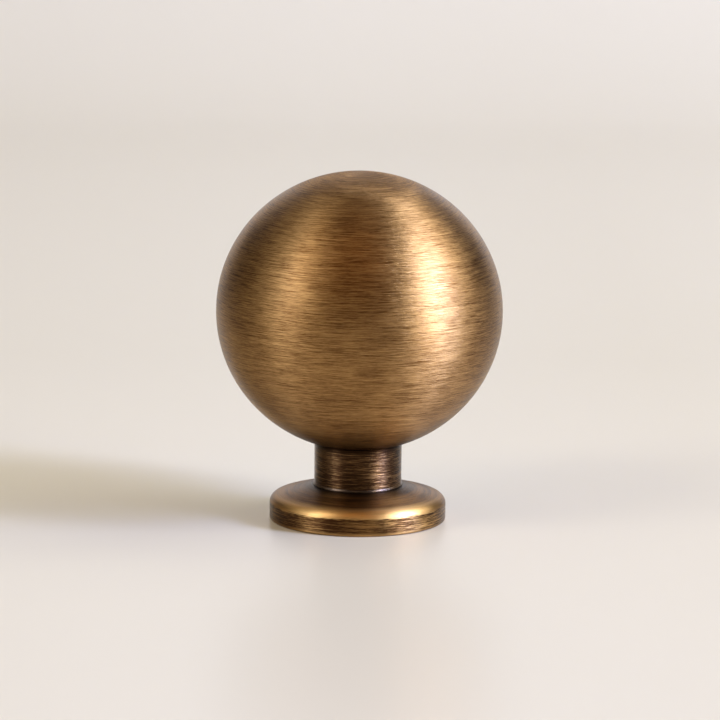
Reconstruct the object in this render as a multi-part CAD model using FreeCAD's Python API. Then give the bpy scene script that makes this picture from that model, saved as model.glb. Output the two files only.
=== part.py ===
import FreeCAD, Part

# Ball cabinet knob on a round rose, in brass: three turned pieces on one upright axis.
#
# rose       the round foot that lies against the drawer front, with a sloped top and a soft rim
# neck       the short post: its pilot is pushed into the rose, its threaded spigot holds the ball,
#            and the fixing screw enters its blind tapped hole from below
# ball_head  the slightly flattened ball, with a spot-faced seat and a blind tapped socket
#
# Millimetres. The origin is the centre of the mounting face, and +Z points out along the knob.
# Threads are plain cylinders: an outside thread at its full diameter, a tapped hole at the
# diameter that is named for it.

import math
import os

# Ball head
ball_diameter = 32.0
ball_height = 31.25            # of the whole oval, before its seat is cut
ball_seat_margin = 0.15        # the spot face reaches this far beyond the neck

# Neck
neck_diameter = 9.8
neck_length = 4.95             # the stretch that shows, from the rose to the ball's seat
neck_top_break = 0.12          # broken edge under the ball
foot_bead_height = 0.36        # fine rounded bead round the neck's foot
foot_bead_proud = 0.1

# Threaded spigot on top of the neck, and the ball's socket for it
spigot_diameter = 8.0
spigot_length = 7.0
spigot_lead = 0.8              # chamfer that starts the thread
relief_diameter = 6.4          # turned groove where the thread runs out
relief_width = 1.1
thread_clearance = 0.04        # on the radius
socket_bottom_gap = 1.0        # free depth above the spigot
socket_countersink = 0.35

# Pilot under the neck, which carries the rose
pilot_diameter = 7.0
pilot_lead = 0.3
pilot_clearance = 0.02         # on the radius

# Rose
rose_diameter = 19.8
rose_height = 3.86             # from the mounting face to the neck's seat
rose_slope_deg = 15.0          # of its top, falling from the seat to the rim
rose_rim_radius = 1.0
rose_foot_radius = 0.25        # small radius round the mounting face
rose_seat_margin = 0.12        # flat left round the neck's foot bead
rose_bore_chamfer = 0.25
underside_recess_diameter = 15.2
underside_recess_depth = 0.4   # so that the rose lies on its outer ring

# Blind hole for the fixing screw, tapped M4
tapped_hole_diameter = 3.3
tapped_hole_depth = 8.0
tapped_hole_countersink = 0.5

drill_point_deg = 118.0

# Places worked out from the sizes above
ball_radius = ball_diameter / 2
neck_radius = neck_diameter / 2
spigot_radius = spigot_diameter / 2
pilot_radius = pilot_diameter / 2
rose_radius = rose_diameter / 2
pilot_end_z = underside_recess_depth
neck_foot_z = rose_height
ball_seat_z = neck_foot_z + neck_length
ball_seat_radius = neck_radius + ball_seat_margin
ball_centre_z = ball_seat_z + ball_height / 2 * math.sqrt(1 - (ball_seat_radius / ball_radius) ** 2)


def at(radius, height):
    """A point of a half profile, in the XZ plane."""
    return FreeCAD.Vector(radius, 0, height)


def line(start, end):
    return Part.LineSegment(start, end).toShape()


def chain(*points):
    """Straight edges from each point to the next."""
    return [line(a, b) for a, b in zip(points, points[1:])]


def turned(edges):
    """The solid that a closed half profile makes when it is turned about the Z axis."""
    profile = Part.Face(Part.Wire(Part.__sortEdges__(edges)))
    return profile.revolve(FreeCAD.Vector(0, 0, 0), FreeCAD.Vector(0, 0, 1), 360)


def arc_about(centre, radius, start_deg, end_deg):
    """An arc of a half profile; angles are measured from the outward radius towards +Z."""
    def on_arc(angle_deg):
        angle = math.radians(angle_deg)
        return centre + FreeCAD.Vector(math.cos(angle), 0, math.sin(angle)) * radius

    middle_deg = (start_deg + end_deg) / 2
    return Part.Arc(on_arc(start_deg), on_arc(middle_deg), on_arc(end_deg))


def drilled_hole(mouth_z, radius, depth, countersink):
    """What a drill and a countersink take out, going up from mouth_z."""
    point_height = radius / math.tan(math.radians(drill_point_deg / 2))
    return turned(chain(
        at(0, mouth_z),
        at(radius + countersink, mouth_z),
        at(radius, mouth_z + countersink),
        at(radius, mouth_z + depth),
        at(0, mouth_z + depth + point_height),
        at(0, mouth_z),
    ))


def make_ball_head():
    """A ball squeezed a little along its axis, cut flat where the neck meets it, with its socket."""
    seat_deg = math.degrees(math.acos(ball_seat_radius / ball_radius))
    skin = arc_about(at(0, 0), ball_radius, -seat_deg, 90).toBSpline()
    for number, pole in enumerate(skin.getPoles(), 1):
        skin.setPole(number, at(pole.x, ball_centre_z + pole.z * ball_height / ball_diameter))

    top = at(0, ball_centre_z + ball_height / 2)
    core = chain(top, at(0, ball_seat_z), at(ball_seat_radius, ball_seat_z))
    socket = drilled_hole(
        ball_seat_z,
        spigot_radius + thread_clearance,
        spigot_length + socket_bottom_gap,
        socket_countersink,
    )
    return turned([skin.toShape()] + core).cut(socket)


def make_neck():
    """Pilot, post and threaded spigot in one turning, with the screw hole up its middle."""
    foot = at(neck_radius, neck_foot_z)
    bead_side = at(neck_radius + foot_bead_proud, neck_foot_z + foot_bead_height / 2)
    bead_top = at(neck_radius, neck_foot_z + foot_bead_height)
    spigot_end_z = ball_seat_z + spigot_length
    below = chain(
        at(0, pilot_end_z),
        at(pilot_radius - pilot_lead, pilot_end_z),
        at(pilot_radius, pilot_end_z + pilot_lead),
        at(pilot_radius, neck_foot_z),
        foot,
    )
    bead = Part.Arc(foot, bead_side, bead_top).toShape()
    above = chain(
        bead_top,
        at(neck_radius, ball_seat_z - neck_top_break),
        at(neck_radius - neck_top_break, ball_seat_z),
        at(relief_diameter / 2, ball_seat_z),
        at(relief_diameter / 2, ball_seat_z + relief_width),
        at(spigot_radius, ball_seat_z + relief_width),
        at(spigot_radius, spigot_end_z - spigot_lead),
        at(spigot_radius - spigot_lead, spigot_end_z),
        at(0, spigot_end_z),
        at(0, pilot_end_z),
    )
    screw_hole = drilled_hole(
        pilot_end_z,
        tapped_hole_diameter / 2,
        tapped_hole_depth,
        tapped_hole_countersink,
    )
    return turned(below + [bead] + above).cut(screw_hole)


def make_rose():
    """The foot: flat seat, sloped top, round rim, upright wall and a relieved underside."""
    slope = math.radians(rose_slope_deg)
    seat_radius = neck_radius + foot_bead_proud + rose_seat_margin
    rim_corner_z = rose_height - (rose_radius - seat_radius) * math.tan(slope)
    rim_turn_deg = 90 - rose_slope_deg
    rim_reach = rose_rim_radius * math.tan(math.radians(rim_turn_deg) / 2)
    wall_top_z = rim_corner_z - rim_reach
    rim_centre = at(rose_radius - rose_rim_radius, wall_top_z)
    slope_end = at(rose_radius - rim_reach * math.cos(slope), rim_corner_z + rim_reach * math.sin(slope))
    foot_centre = at(rose_radius - rose_foot_radius, rose_foot_radius)
    bore_radius = pilot_radius + pilot_clearance
    recess_radius = underside_recess_diameter / 2

    rim = arc_about(rim_centre, rose_rim_radius, 0, rim_turn_deg).toShape()
    foot = arc_about(foot_centre, rose_foot_radius, -90, 0).toShape()
    top_and_bore = chain(
        slope_end,
        at(seat_radius, rose_height),
        at(bore_radius + rose_bore_chamfer, rose_height),
        at(bore_radius, rose_height - rose_bore_chamfer),
        at(bore_radius, underside_recess_depth),
        at(recess_radius, underside_recess_depth),
        at(recess_radius, 0),
        at(rose_radius - rose_foot_radius, 0),
    )
    wall = line(at(rose_radius, rose_foot_radius), at(rose_radius, wall_top_z))
    return turned([rim, foot, wall] + top_and_bore)


def save(name, shape):
    """Writes one piece as parts/NAME.step and prints what it came out as."""
    solid = shape.Solids[0]
    solid.exportStep(os.path.join("parts", name + ".step"))
    box = solid.BoundBox
    print(f"{name}: valid {solid.isValid()}, {solid.Volume:.1f} mm3, z {box.ZMin:.2f} to {box.ZMax:.2f}")


os.makedirs("parts", exist_ok=True)
save("rose", make_rose())
save("neck", make_neck())
save("ball_head", make_ball_head())
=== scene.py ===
import math

import bpy
from mathutils import Matrix, Vector


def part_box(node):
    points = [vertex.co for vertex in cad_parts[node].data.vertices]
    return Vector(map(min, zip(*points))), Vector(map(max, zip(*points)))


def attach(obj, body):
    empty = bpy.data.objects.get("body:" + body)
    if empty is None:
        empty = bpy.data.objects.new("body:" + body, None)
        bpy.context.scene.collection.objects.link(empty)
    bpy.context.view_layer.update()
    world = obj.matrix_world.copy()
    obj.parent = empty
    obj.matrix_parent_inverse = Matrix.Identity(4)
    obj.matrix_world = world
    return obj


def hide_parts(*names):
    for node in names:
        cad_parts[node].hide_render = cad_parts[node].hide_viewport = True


# A ball cabinet knob in brushed antique brass, standing on its rose on a pale floor.
# Lengths are in metres; mm turns millimetres into them.
mm = 0.001

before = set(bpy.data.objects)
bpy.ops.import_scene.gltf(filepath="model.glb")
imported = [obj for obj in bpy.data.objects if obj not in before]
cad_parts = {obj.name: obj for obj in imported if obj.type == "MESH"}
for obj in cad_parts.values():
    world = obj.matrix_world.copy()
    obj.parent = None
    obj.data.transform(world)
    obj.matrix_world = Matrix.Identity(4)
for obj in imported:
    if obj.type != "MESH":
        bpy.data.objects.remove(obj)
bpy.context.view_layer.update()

# Sizes read from the frame
ball_low, ball_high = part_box("ball_head")
neck_low, neck_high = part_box("neck")
rose_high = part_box("rose")[1]
ball_radius = min(ball_high.x, ball_high.y)
seat_z = ball_low.z
rose_radius = min(rose_high.x, rose_high.y)
rose_top = rose_high.z
bead_radius = min(neck_high.x, neck_high.y)
pilot_end_z = neck_low.z
spigot_end_z = neck_high.z

# Sizes of the turned profiles that the frame's boxes don't give
ball_height = 31.25 * mm
ball_seat_radius = 5.05 * mm
seat_edge = 0.06 * mm
neck_radius = 4.9 * mm
bead_height = 0.36 * mm
neck_top_break = 0.12 * mm
spigot_radius = 4.0 * mm
spigot_lead = 0.8 * mm
relief_radius = 3.2 * mm
relief_width = 1.1 * mm
socket_radius = 4.04 * mm
socket_countersink = 0.35 * mm
socket_depth = 8.0 * mm
pilot_radius = 3.5 * mm
pilot_lead = 0.3 * mm
hole_radius = 1.65 * mm
hole_countersink = 0.5 * mm
hole_depth = 8.0 * mm
thread_depth = 0.35 * mm
thread_pitch = 0.7 * mm
rose_slope = math.radians(15)
rose_seat_radius = 5.12 * mm
rose_rim_radius = 1.0 * mm
rose_foot_radius = 0.25 * mm
rose_bore_radius = 3.52 * mm
rose_bore_chamfer = 0.25 * mm
recess_radius = 7.6 * mm
recess_depth = 0.4 * mm
fine_edge = 0.05 * mm
drill_point = math.radians(118 / 2)
rim_corner = rose_top - (rose_radius - rose_seat_radius) * math.tan(rose_slope)
wall_top = rim_corner - rose_rim_radius * math.tan((math.pi / 2 - rose_slope) / 2)

# Mesh density
segments = 240                  # round the axis
ball_rings = 190
bead_parts = 12
outer_step = 0.2 * mm
inner_step = 0.9 * mm
arc_step = 0.12 * mm
thread_step = thread_pitch / 10
sharp_edge = math.radians(40)

# How far the rubbed finish of a convex edge fades out beside it
edge_wear = 0.4 * mm
rim_wear = 0.9 * mm


def rounded(corners, step, wear_fade=edge_wear):
    """A profile through (radius, height, fillet) corners: each corner becomes an arc of its fillet.

    Straight runs are divided so that no part of them is longer than step. Each point comes with a
    wear value: 1 on the arcs of convex corners, where a finish is rubbed bright, fading to 0 along
    the straight runs beside them.
    """
    points = []
    for index, (radius, height, fillet) in enumerate(corners):
        here = Vector((radius, height))
        if fillet == 0 or index in (0, len(corners) - 1):
            points.append((here, 0.0))
            continue
        before = (Vector(corners[index - 1][:2]) - here).normalized()
        after = (Vector(corners[index + 1][:2]) - here).normalized()
        half_turn = before.angle(after) / 2
        reach = fillet / math.tan(half_turn)
        start, end = here + before * reach, here + after * reach
        centre = here + (before + after).normalized() * fillet / math.sin(half_turn)
        sweep = math.pi - 2 * half_turn
        turns_left = before.x * after.y - before.y * after.x < 0
        count = max(4, math.ceil(sweep * fillet / arc_step))
        for part in range(count + 1):
            turn = sweep * part / count * (1 if turns_left else -1)
            arm = start - centre
            arm = Vector((
                arm.x * math.cos(turn) - arm.y * math.sin(turn),
                arm.x * math.sin(turn) + arm.y * math.cos(turn),
            ))
            points.append((centre + arm, 0.0 if turns_left else 1.0))
        points[-1] = (end, points[-1][1])
    return divided(points, step, wear_fade)


def divided(points, step, wear_fade):
    """The same profile with its long runs divided; wear fades out along them from either end."""
    result = [points[0]]
    for (a, wear_a), (b, wear_b) in zip(points, points[1:]):
        length = (b - a).length
        count = max(1, math.ceil(length / step))
        for part in range(1, count + 1):
            done = length * part / count
            from_a = wear_a * max(0, 1 - done / wear_fade)
            from_b = wear_b * max(0, 1 - (length - done) / wear_fade)
            result.append((a.lerp(b, part / count), min(1.0, from_a + from_b)))
    return result


def turned(name, profile, thread=None):
    """A mesh turned about Z from (point, wear) pairs, with 'run' and 'wear' stored at its points.

    run is the distance along the profile. thread, where given, returns how far a point of the
    profile is cut outwards at an angle.
    """
    vertices, rings, runs, wears = [], [], [], []
    run = 0.0
    previous = None
    for point, wear in profile:
        if previous is not None:
            run += (point - previous).length
        previous = point
        on_axis = point.x < 1e-9
        ring = []
        for index in range(1 if on_axis else segments):
            angle = 2 * math.pi * index / segments
            radius = point.x + (thread(point, angle) if thread else 0.0)
            ring.append(len(vertices))
            vertices.append((radius * math.cos(angle), radius * math.sin(angle), point.y))
            runs.append(run)
            wears.append(wear)
        rings.append(ring)

    faces = []
    for low, high in zip(rings, rings[1:]):
        for index in range(segments):
            following = (index + 1) % segments
            if len(low) == 1:
                faces.append((low[0], high[following], high[index]))
            elif len(high) == 1:
                faces.append((low[index], low[following], high[0]))
            else:
                faces.append((low[index], low[following], high[following], high[index]))

    mesh = bpy.data.meshes.new(name)
    mesh.from_pydata(vertices, [], faces)
    mesh.attributes.new("run", "FLOAT", "POINT").data.foreach_set("value", runs)
    mesh.attributes.new("wear", "FLOAT", "POINT").data.foreach_set("value", wears)
    mesh.shade_smooth()
    mesh.set_sharp_from_angle(angle=sharp_edge)
    mesh.update()
    piece = bpy.data.objects.new(name, mesh)
    bpy.context.scene.collection.objects.link(piece)
    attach(piece, "root")
    return piece


def make_ball():
    """The squeezed ball from its pole down to the seat, then up into its socket."""
    half_height = ball_height / 2
    centre_z = ball_high.z - half_height
    seat_angle = math.asin((seat_z + seat_edge - centre_z) / half_height)
    skin = []
    for index in range(ball_rings + 1):
        angle = math.pi / 2 + (seat_angle - math.pi / 2) * index / ball_rings
        radius = ball_radius * math.cos(angle) if index else 0.0
        skin.append((Vector((radius, centre_z + half_height * math.sin(angle))), 0.0))
    point_z = seat_z + socket_depth + socket_radius / math.tan(drill_point)
    inside = rounded([
        (skin[-1][0].x, skin[-1][0].y, 0),
        (ball_seat_radius - seat_edge, seat_z, 0),
        (socket_radius + socket_countersink, seat_z, 0),
        (socket_radius, seat_z + socket_countersink, 0),
        (socket_radius, seat_z + socket_depth, 0),
        (0, point_z, 0),
    ], inner_step)
    return turned("ball_skin", skin + inside[1:])


def make_neck():
    """Spigot, post, foot bead and pilot, then the screw hole with its M4 thread."""
    outside = rounded([
        (0, spigot_end_z, 0),
        (spigot_radius - spigot_lead, spigot_end_z, 0),
        (spigot_radius, spigot_end_z - spigot_lead, 0),
        (spigot_radius, seat_z + relief_width, 0),
        (relief_radius, seat_z + relief_width, 0),
        (relief_radius, seat_z, 0),
    ], inner_step)
    post = rounded([
        (relief_radius, seat_z, 0),
        (neck_radius, seat_z, neck_top_break),
        (neck_radius, rose_top + bead_height, 0),
    ], outer_step)
    bead = []
    for index in range(bead_parts + 1):
        turn = math.pi / 2 - math.pi * index / bead_parts
        proud = (bead_radius - neck_radius) * math.cos(turn)
        height = rose_top + bead_height / 2 * (1 + math.sin(turn))
        bead.append((Vector((neck_radius + proud, height)), 1.0))
    pilot = rounded([
        (neck_radius, rose_top, 0),
        (pilot_radius, rose_top, 0),
        (pilot_radius, pilot_end_z + pilot_lead, 0),
        (pilot_radius - pilot_lead, pilot_end_z, 0),
        (hole_radius + hole_countersink, pilot_end_z, 0),
        (hole_radius, pilot_end_z + hole_countersink, 0),
    ], inner_step)
    thread_top = pilot_end_z + hole_depth
    hole = rounded([
        (hole_radius, pilot_end_z + hole_countersink, 0),
        (hole_radius, thread_top, 0),
    ], thread_step)
    tip = [(Vector((0, thread_top + hole_radius / math.tan(drill_point))), 0.0)]

    def cut_thread(point, angle):
        """The groove of the thread in the hole's wall: flat at its root, between sloping flanks."""
        root, flank = 1.25, 3.2
        widest = hole_radius * 1.02
        low, high = pilot_end_z + hole_countersink * 0.4, thread_top - thread_pitch
        if point.x > widest or not low < point.y < high:
            return 0.0
        phase = (point.y / thread_pitch - angle / (2 * math.pi)) % 1
        return thread_depth * min(1, max(0, root - abs(phase - 0.5) * flank))

    profile = outside + post[1:] + bead[1:] + pilot[1:] + hole[1:] + tip
    return turned("neck_post", profile, cut_thread)


def make_rose():
    """Seat, sloped top, round rim, upright wall and the recess underneath, as one closed ring."""
    profile = rounded([
        (rose_bore_radius, rose_top - rose_bore_chamfer, 0),
        (rose_bore_radius + rose_bore_chamfer, rose_top, 0),
        (rose_seat_radius, rose_top, 0),
        (rose_radius, rim_corner, rose_rim_radius),
        (rose_radius, 0, rose_foot_radius),
        (recess_radius, 0, fine_edge),
        (recess_radius, recess_depth, 0),
        (rose_bore_radius, recess_depth, 0),
        (rose_bore_radius, rose_top - rose_bore_chamfer, 0),
    ], outer_step, rim_wear)
    return turned("rose_foot", profile)


# Materials

# Kinds of brush strokes: their length, their width, and how far they wander off their line
short_strokes = (1.6 * mm, 0.05 * mm, 0.3 * mm)
long_strokes = (3.6 * mm, 0.06 * mm, 0.6 * mm)
grain_strokes = (0.5 * mm, 0.06 * mm, 0.2 * mm)
broad_strokes = (8.0 * mm, 0.35 * mm, 0.8 * mm)
deep_strokes = (4.0 * mm, 0.07 * mm, 0.4 * mm)
leaning_strokes = (3.0 * mm, 0.06 * mm, 0.5 * mm)
turning_strokes = (10 * mm, 0.7 * mm, 1.0 * mm)
crumbs = (0.12 * mm, 0.08 * mm, 0.0)

wander_size = 9 * mm            # of the slow waves that strokes wander in
wander_seed = 50                # keeps the draws of the waves apart from those of the strokes
cloud_size = 5 * mm             # of the patches of lighter and darker patina
brush_relief = 0.02 * mm


def add(tree, kind, **values):
    """A new node with its inputs set by name, spaces written as underscores."""
    node = tree.nodes.new(kind)
    for key, value in values.items():
        node.inputs[key.replace("_", " ")].default_value = value
    return node


def maths(tree, operation, first, second, clamp=False):
    """A Math node on two values or sockets."""
    node = tree.nodes.new("ShaderNodeMath")
    node.operation = operation
    node.use_clamp = clamp
    for socket, value in zip(node.inputs, (first, second)):
        if isinstance(value, (int, float)):
            socket.default_value = value
        else:
            tree.links.new(value, socket)
    return node.outputs[0]


def blend_colours(tree, share, first, second):
    """A colour between two colours or sockets."""
    node = tree.nodes.new("ShaderNodeMix")
    node.data_type = "RGBA"
    tree.links.new(share, node.inputs[0])
    for socket, value in zip(node.inputs[6:8], (first, second)):
        if isinstance(value, tuple):
            socket.default_value = (*value, 1)
        else:
            tree.links.new(value, socket)
    return node.outputs[2]


def vector_maths(tree, operation, first, second):
    """A Vector Math node on two vector sockets, or on one and a number to scale it by."""
    node = tree.nodes.new("ShaderNodeVectorMath")
    node.operation = operation
    tree.links.new(first, node.inputs[0])
    if second is not None:
        tree.links.new(second, node.inputs["Scale" if operation == "SCALE" else 1])
    return node.outputs[0]


def spread(tree, value, low, high, to_low=0.0, to_high=1.0):
    """A value carried from one range to another, held at its ends."""
    node = add(tree, "ShaderNodeMapRange", From_Min=low, From_Max=high, To_Min=to_low, To_Max=to_high)
    tree.links.new(value, node.inputs["Value"])
    return node.outputs[0]


def along(tree, place, axis):
    """How far a place lies along the axis X, Y or Z."""
    axes = tree.nodes.new("ShaderNodeSeparateXYZ")
    tree.links.new(place, axes.inputs[0])
    return axes.outputs[axis]


def noise_at(tree, place, seed, **values):
    """A noise with one finer octave, drawn by its seed."""
    noise = tree.nodes.new("ShaderNodeTexNoise")
    noise.noise_dimensions = "4D"
    noise.inputs["W"].default_value = seed
    noise.inputs["Detail"].default_value = 1.0
    for key, value in values.items():
        noise.inputs[key].default_value = value
    tree.links.new(place, noise.inputs["Vector"])
    return noise.outputs["Fac"]


def strokes(tree, place, run, seed, kind):
    """Brush marks round the axis as a noise, stretched to the length and width of their kind."""
    length, width, wander = kind
    wave = noise_at(tree, place, seed + wander_seed, Scale=1 / wander_size)
    offset = maths(tree, "MULTIPLY", maths(tree, "SUBTRACT", wave, 0.5), wander)
    joined = tree.nodes.new("ShaderNodeCombineXYZ")
    tree.links.new(maths(tree, "MULTIPLY", along(tree, place, "X"), 1 / length), joined.inputs[0])
    tree.links.new(maths(tree, "MULTIPLY", along(tree, place, "Y"), 1 / length), joined.inputs[1])
    tree.links.new(maths(tree, "MULTIPLY", maths(tree, "ADD", run, offset), 1 / width), joined.inputs[2])
    return noise_at(tree, joined.outputs[0], seed, Scale=1.0, Roughness=0.6)


def stored(tree, name):
    """A value that turned() stores at the points of a mesh."""
    attribute = tree.nodes.new("ShaderNodeAttribute")
    attribute.attribute_name = name
    return attribute.outputs["Fac"]


def start_finish(name):
    """A new material, with what every finish needs: its tree, shader, place on the piece and run."""
    material = bpy.data.materials.new(name)
    material.use_nodes = True
    tree = material.node_tree
    place = tree.nodes.new("ShaderNodeTexCoord").outputs["Object"]
    return material, tree, tree.nodes["Principled BSDF"], place, stored(tree, "run")


def brush_marks(tree, place, run, seed, bands=0.18):
    """Crossing sets of fine scratches with grain, broader bands and a few dark ones, about 0 to 1."""
    fine_share, deep_share, grain_share = 0.42, 0.32, 0.1
    fine_low, fine_high = 0.37, 0.63
    first = strokes(tree, place, run, seed + 1, short_strokes)
    first = spread(tree, first, fine_low, fine_high, 0.0, fine_share)
    second = strokes(tree, place, run, seed + 2, long_strokes)
    second = spread(tree, second, fine_low, fine_high, 0.0, fine_share)
    broad = spread(tree, strokes(tree, place, run, seed + 3, broad_strokes), 0.3, 0.7, 0.0, bands)
    deep = spread(tree, strokes(tree, place, run, seed + 5, deep_strokes), 0.58, 0.7, 0.0, deep_share)
    grain = strokes(tree, place, run, seed + 6, grain_strokes)
    grain = spread(tree, grain, fine_low, fine_high, -grain_share, grain_share)
    marks = maths(tree, "ADD", maths(tree, "ADD", first, second), maths(tree, "ADD", broad, grain))
    return maths(tree, "SUBTRACT", marks, deep, clamp=True)


def clouded(tree, place, marks, depth):
    """The marks with slow patches of lighter and darker patina added."""
    cloud = add(tree, "ShaderNodeTexNoise", Scale=1 / cloud_size, Detail=2.0)
    tree.links.new(place, cloud.inputs["Vector"])
    patches = spread(tree, cloud.outputs["Fac"], 0.3, 0.7, -depth, depth)
    return maths(tree, "ADD", marks, patches, clamp=True)


def brush_surface(tree, shader, place, run, marks, seed, roughness, lean, coat, swirl=None):
    """Relief, a slight lean of each stroke, and highlights drawn out across the strokes.

    swirl, where given, is how far from 0 to 1 the strokes lose their direction at a place.
    """
    turn_for_lean, loose_turn = -1.6, 6.0
    tree.links.new(roughness, shader.inputs["Roughness"])
    bump = add(tree, "ShaderNodeBump", Strength=0.6, Distance=brush_relief)
    tree.links.new(marks, bump.inputs["Height"])
    tangent = tree.nodes.new("ShaderNodeTangent")
    tangent.direction_type = "RADIAL"
    tangent.axis = "Z"
    tangent = tangent.outputs[0]
    leaning = strokes(tree, place, run, seed + 4, leaning_strokes)
    aside = spread(tree, leaning, 0.2, 0.8, -lean, lean)
    turn = maths(tree, "MULTIPLY", aside, turn_for_lean)
    if swirl is not None:
        loose = strokes(tree, place, run, seed + 7, crumbs)
        loose = spread(tree, loose, 0.35, 0.65, -loose_turn, loose_turn)
        turn = maths(tree, "ADD", turn, maths(tree, "MULTIPLY", loose, swirl))
    sideways = vector_maths(tree, "SCALE", tangent, aside)
    normal = vector_maths(tree, "ADD", bump.outputs[0], sideways)
    normal = vector_maths(tree, "NORMALIZE", normal, None)
    across = vector_maths(tree, "CROSS_PRODUCT", bump.outputs[0], tangent)
    turned_off = vector_maths(tree, "SCALE", across, turn)
    tree.links.new(normal, shader.inputs["Normal"])
    tree.links.new(normal, shader.inputs["Coat Normal"])
    tree.links.new(vector_maths(tree, "ADD", tangent, turned_off), shader.inputs["Tangent"])
    shader.inputs["Metallic"].default_value = 1.0
    shader.inputs["Anisotropic"].default_value = 0.78
    shader.inputs["Anisotropic Rotation"].default_value = 0.25
    shader.inputs["Coat Weight"].default_value = coat
    shader.inputs["Coat Roughness"].default_value = 0.2


def ball_finish():
    """Golden brown, with fine light and dark strokes, and a painted shade where the ball meets the neck.
    """
    dark, light, shade_colour = (0.080, 0.0255, 0.0026), (0.50, 0.287, 0.105), (0.02, 0.005, 0.0005)
    shade_top, shade_foot = seat_z + 4.3 * mm, seat_z + 0.3 * mm
    swirl_edge, swirl_top = ball_high.z - 2.6 * mm, ball_high.z - 0.2 * mm
    seed = 10
    material, tree, shader, place, run = start_finish("brushed_ball")
    height = along(tree, place, "Z")
    marks = brush_marks(tree, place, run, seed)
    colour = blend_colours(tree, clouded(tree, place, marks, 0.12), dark, light)
    # painted shade: the colour darkens towards the seat, where the ball meets the neck
    painted_shade = maths(tree, "POWER", spread(tree, height, shade_top, shade_foot), 1.6)
    painted_shade = maths(tree, "MULTIPLY", painted_shade, spread(tree, marks, 0.2, 0.9, 1.0, 0.8))
    tree.links.new(blend_colours(tree, painted_shade, colour, shade_colour), shader.inputs["Base Color"])
    swirl = maths(tree, "POWER", spread(tree, height, swirl_edge, swirl_top), 2)
    roughness = spread(tree, marks, 0.0, 1.0, 0.37, 0.48)
    roughness = maths(tree, "ADD", roughness, maths(tree, "MULTIPLY", swirl, 0.12))
    brush_surface(tree, shader, place, run, marks, seed, roughness, lean=0.03, coat=0.05, swirl=swirl)
    return material


def neck_finish():
    """Nearly black brown with long light scratches, paler on one side as a painted highlight, a shine on
    the bead, and a painted shade under the ball.
    """
    dark, shade_colour, bead_shine = (0.038, 0.017, 0.007), (0.012, 0.005, 0.002), (0.3, 0.25, 0.2)
    light, lit_side_colour = (0.31, 0.172, 0.070), (0.49, 0.285, 0.125)
    seed = 20
    material, tree, shader, place, run = start_finish("brushed_neck")
    height = along(tree, place, "Z")
    marks = brush_marks(tree, place, run, seed, bands=0.1)
    level = spread(tree, clouded(tree, place, marks, 0.15), 0.4, 1.05)
    # painted highlight: the light scratches are paler towards +X, the side the key light falls on
    brighter_share = spread(tree, along(tree, place, "X"), 0.5 * mm, 3.5 * mm)
    colour = blend_colours(tree, level, dark, blend_colours(tree, brighter_share, light, lit_side_colour))
    shine = spread(tree, height, seat_z - 1 * mm, rose_top, 0.0, 0.25)
    colour = blend_colours(tree, maths(tree, "MULTIPLY", stored(tree, "wear"), shine), colour, bead_shine)
    # painted shade: dark at the top of the neck, under the ball
    painted_shade = spread(tree, height, seat_z - 0.9 * mm, seat_z - 0.1 * mm)
    tree.links.new(blend_colours(tree, painted_shade, colour, shade_colour), shader.inputs["Base Color"])
    roughness = spread(tree, marks, 0.0, 1.0, 0.29, 0.35)
    brush_surface(tree, shader, place, run, marks, seed, roughness, lean=0.05, coat=0.0)
    return material


def slope_colour(tree, place, run, marks, height, seed):
    """Brown in turned bands of light and dark, and a painted shade beside the neck."""
    dark, light, shade_colour = (0.045, 0.0145, 0.0025), (0.27, 0.133, 0.041), (0.03, 0.013, 0.004)
    turning = spread(tree, strokes(tree, place, run, seed + 8, turning_strokes), 0.35, 0.65, -0.3, 0.3)
    level = maths(tree, "ADD", clouded(tree, place, marks, 0.1), turning, clamp=True)
    # painted shade: dark on the slope beside the neck
    painted_shade = spread(tree, height, rose_top - 0.45 * mm, rose_top)
    return blend_colours(tree, painted_shade, blend_colours(tree, level, dark, light), shade_colour)


def rose_wall_colour(tree, place, marks):
    """Dark with gold strokes, which are brighter on one side as a painted highlight."""
    dark, light, lit_side_colour = (0.055, 0.0225, 0.0075), (0.40, 0.216, 0.072), (0.68, 0.40, 0.14)
    # painted highlight: the gold strokes are paler towards +X, under the key light
    brighter_share = spread(tree, along(tree, place, "X"), 2 * mm, 8 * mm)
    level = spread(tree, clouded(tree, place, marks, 0.2), 0.4, 1.05)
    return blend_colours(tree, level, dark, blend_colours(tree, brighter_share, light, lit_side_colour))


def rim_gold_share(tree, place, marks, on_wall, ragged):
    """Where the rim and, less, the foot are worn to gold, partly real wear and partly a painted highlight;
    the gold is painted stronger at the front, and the side that faces away stays dull.
    """
    wear = stored(tree, "wear")
    foot = spread(tree, ragged, 0.42 * mm, 0.26 * mm, 0.0, 0.4)
    brighter_share = maths(tree, "ADD", maths(tree, "SUBTRACT", 1, on_wall), foot)
    brighter_share = maths(tree, "MULTIPLY", wear, brighter_share)
    brighter_share = maths(tree, "MULTIPLY", brighter_share, spread(tree, marks, 0.0, 0.5, 0.75, 1.0), clamp=True)
    # painted highlight: the gold is stronger towards the front (-Y) and dull on the far side
    front_highlight = spread(tree, along(tree, place, "Y"), -1 * mm, -9 * mm, 0.15, 1.0)
    return maths(tree, "MULTIPLY", brighter_share, front_highlight)


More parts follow.
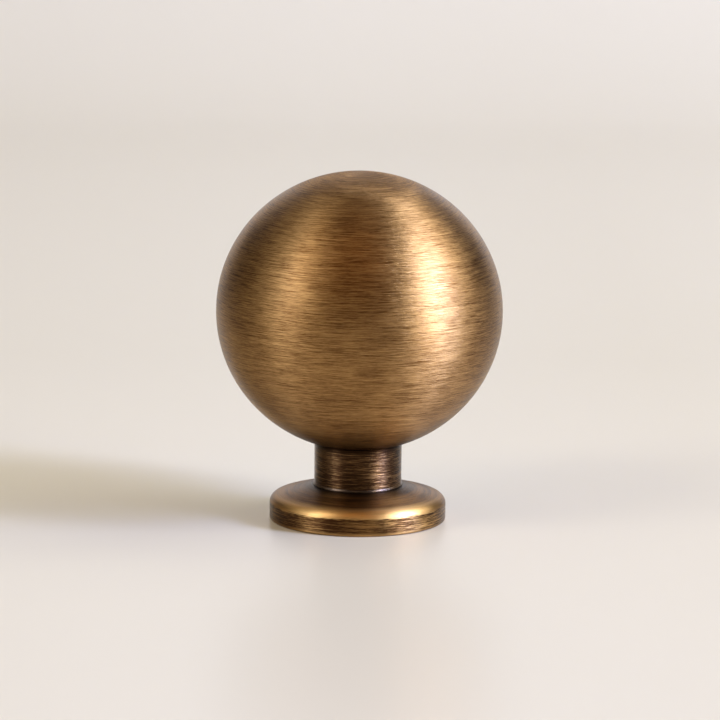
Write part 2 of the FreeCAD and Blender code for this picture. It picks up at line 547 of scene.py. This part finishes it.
def rose_finish():
    """Brown on its slope, worn to smooth gold round the rim, partly a painted highlight, and dark with
    gold strokes on the wall, brighter on one side as a painted highlight.
    """
    gold = (0.73, 0.435, 0.155)
    seed = 30
    material, tree, shader, place, run = start_finish("brushed_rose")
    height = along(tree, place, "Z")
    marks = brush_marks(tree, place, run, seed, bands=0.25)
    uneven = maths(tree, "MULTIPLY", maths(tree, "SUBTRACT", marks, 0.5), 0.35 * mm)
    ragged = maths(tree, "ADD", height, uneven)
    on_wall = spread(tree, ragged, wall_top + 0.24 * mm, wall_top + 0.1 * mm)
    slope = slope_colour(tree, place, run, marks, height, seed)
    colour = blend_colours(tree, on_wall, slope, rose_wall_colour(tree, place, marks))
    # gold round the rim and foot: real wear, partly a painted highlight that is stronger at the front
    brighter_share = rim_gold_share(tree, place, marks, on_wall, ragged)
    tree.links.new(blend_colours(tree, brighter_share, colour, gold), shader.inputs["Base Color"])
    smoother = maths(tree, "MULTIPLY", on_wall, 0.08)
    roughness = maths(tree, "SUBTRACT", spread(tree, marks, 0.0, 1.0, 0.38, 0.46), smoother)
    brush_surface(tree, shader, place, run, marks, seed, roughness, lean=0.04, coat=0.01)
    return material


def finish_piece(piece, node, material):
    """Puts a piece in its CAD node's place with its finish."""
    piece.data.materials.append(material)
    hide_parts(node)


# Studio

def make_floor():
    """A pale sweep: flat under the knob, and curving up well behind it."""
    depth_front, depth_back, bend, height = 1.6, 0.62, 0.3, 0.42
    wide, narrow = 1.6, 0.36
    bend_parts, narrowing_parts = 24, 6
    line = [(Vector((-depth_front, 0)), wide), (Vector((depth_back - bend, 0)), wide)]
    for index in range(1, bend_parts + 1):
        turn = math.pi / 2 * index / bend_parts
        rise = Vector((depth_back - bend + bend * math.sin(turn), bend * (1 - math.cos(turn))))
        line.append((rise, wide + (narrow - wide) * min(1, index / narrowing_parts)))
    line.append((Vector((depth_back, height)), narrow))
    vertices = [(side * half_width, p.x, p.y) for p, half_width in line for side in (-1, 1)]
    faces = [(2 * i, 2 * i + 1, 2 * i + 3, 2 * i + 2) for i in range(len(line) - 1)]
    mesh = bpy.data.meshes.new("sweep")
    mesh.from_pydata(vertices, [], faces)
    mesh.shade_smooth()
    floor = bpy.data.objects.new("sweep", mesh)
    bpy.context.scene.collection.objects.link(floor)

    material = bpy.data.materials.new("sweep")
    material.use_nodes = True
    tree = material.node_tree
    shader = tree.nodes["Principled BSDF"]
    place = tree.nodes.new("ShaderNodeTexCoord").outputs["Object"]
    sideways = spread(tree, along(tree, place, "X"), -0.01, 0.04)
    backwards = spread(tree, along(tree, place, "Y"), 0.1, 0.55)
    near = blend_colours(tree, sideways, floor_left, floor_right)
    tree.links.new(blend_colours(tree, backwards, near, wall_colour), shader.inputs["Base Color"])
    shader.inputs["Roughness"].default_value = 0.33
    shader.inputs["Specular IOR Level"].default_value = 0.5
    mesh.materials.append(material)
    return floor


def make_lamp(name, size, place, target, power, colour):
    """A rectangular lamp at a place, aimed at a target and unseen by the camera."""
    data = bpy.data.lights.new(name, "AREA")
    data.shape = "RECTANGLE"
    data.size, data.size_y = size
    data.energy = power
    data.color = colour
    lamp = bpy.data.objects.new(name, data)
    lamp.location = place
    lamp.rotation_euler = (place - target).to_track_quat("Z", "Y").to_euler()
    lamp.visible_camera = False
    bpy.context.scene.collection.objects.link(lamp)
    return lamp


def make_softbox(name, azimuth_deg, elevation_deg, wide_deg, high_deg, power, colour):
    """A softbox aimed at the knob; azimuth 0 is the camera's side, and positive is its right."""
    azimuth, elevation = math.radians(azimuth_deg), math.radians(elevation_deg)
    direction = Vector((
        math.sin(azimuth) * math.cos(elevation),
        -math.cos(azimuth) * math.cos(elevation),
        math.sin(elevation),
    ))
    size = [2 * lamp_distance * math.tan(math.radians(angle / 2)) for angle in (wide_deg, high_deg)]
    return make_lamp(name, size, aim + direction * lamp_distance, aim, power, colour)


def make_wash(power, colour):
    """Light thrown on the sweep behind the knob, from above and away from the knob."""
    place, target = Vector((0, 0.12, 0.52)), Vector((0, 0.5, 0.03))
    return make_lamp("wash", (0.7, 0.25), place, target, power, colour)


def make_world(colour, strength):
    """Dim light from all round."""
    world = bpy.data.worlds.new("studio")
    world.use_nodes = True
    background = world.node_tree.nodes["Background"]
    background.inputs["Color"].default_value = (*colour, 1)
    background.inputs["Strength"].default_value = strength
    bpy.context.scene.world = world


def make_camera():
    """The photograph's view: low and far, rolled a touch, with the knob's axis just left of the middle."""
    distance, elevation, roll = 0.45, math.radians(10.5), math.radians(0.573)
    picture_width_px, focal_length_px, axis_left_px = 720, 4025, 1.04
    back = Vector((0, -math.cos(elevation), math.sin(elevation)))
    data = bpy.data.cameras.new("camera")
    data.sensor_width = 36.0
    data.lens = focal_length_px / picture_width_px * data.sensor_width
    data.shift_x = axis_left_px / picture_width_px
    camera = bpy.data.objects.new("camera", data)
    turn = back.to_track_quat("Z", "Y").to_matrix() @ Matrix.Rotation(roll, 3, "Z")
    camera.matrix_world = Matrix.Translation(aim + back * distance) @ turn.to_4x4()
    bpy.context.scene.collection.objects.link(camera)
    bpy.context.scene.camera = camera


# What the lamps and the camera aim at, and how far the softboxes stand from it
aim = Vector((0, 0, 18.05 * mm))
lamp_distance = 0.6

# Colours of the sweep, and of the light
floor_left = (0.65, 0.577, 0.412)
floor_right = (0.587, 0.511, 0.348)
wall_colour = (0.92, 0.838, 0.66)
core = (0.76, 1.0, 2.25)
pale = (0.9, 1.0, 1.25)
cool = (0.94, 0.99, 1.02)
even = (0.96, 1.0, 1.06)
warm = (1.05, 1.0, 0.93)
amber = (1.3, 0.7, 0.3)
glow = (1.0, 0.70, 0.30)

# Each softbox: azimuth, elevation, apparent width and height, all in degrees, then power and colour
softboxes = [
    ("key_floor", 58, 3, 24, 5, 0.60, cool),
    ("key_low", 58, 9, 20, 14, 0.72, cool),
    ("key_mid", 58, 24, 20, 14, 0.32, cool),
    ("core_a", 67, 15, 8, 9, 0.70, core),
    ("core_b", 67, 25, 8, 9, 1.15, core),
    ("core_c", 75, 15, 8, 9, 0.26, core),
    ("core_d", 75, 25, 8, 9, 0.76, core),
    ("core_e", 69, 36, 11, 10, 0.92, pale),
    ("wing_mid", 92, 26, 26, 16, 1.00, cool),
    ("wing_high", 86, 46, 34, 18, 0.69, cool),
    ("key_back", 124, 50, 30, 30, 0.60, even),
    ("fill_floor", -60, 3, 24, 5, 0.09, even),
    ("fill_low", -58, 12, 20, 14, 0.39, pale),
    ("fill_mid", -62, 27, 14, 14, 0.56, pale),
    ("fill_high", -54, 42, 20, 14, 0.62, warm),
    ("fill_wing", -80, 24, 18, 36, 0.26, even),
    ("fill_back", -118, 45, 36, 30, 0.15, warm),
    ("front", 0, 56, 50, 26, 0.28, amber),
    ("back", 180, 35, 60, 20, 0.10, pale),
]

finish_piece(make_ball(), "ball_head", ball_finish())
finish_piece(make_neck(), "neck", neck_finish())
finish_piece(make_rose(), "rose", rose_finish())

make_floor()
for name, azimuth, elevation, wide, high, power, colour in softboxes:
    make_softbox(name, azimuth, elevation, wide, high, power, colour)
make_wash(power=0.36, colour=even)
make_world(glow, strength=0.09)
make_camera()
bpy.context.scene.view_settings.view_transform = "Standard"
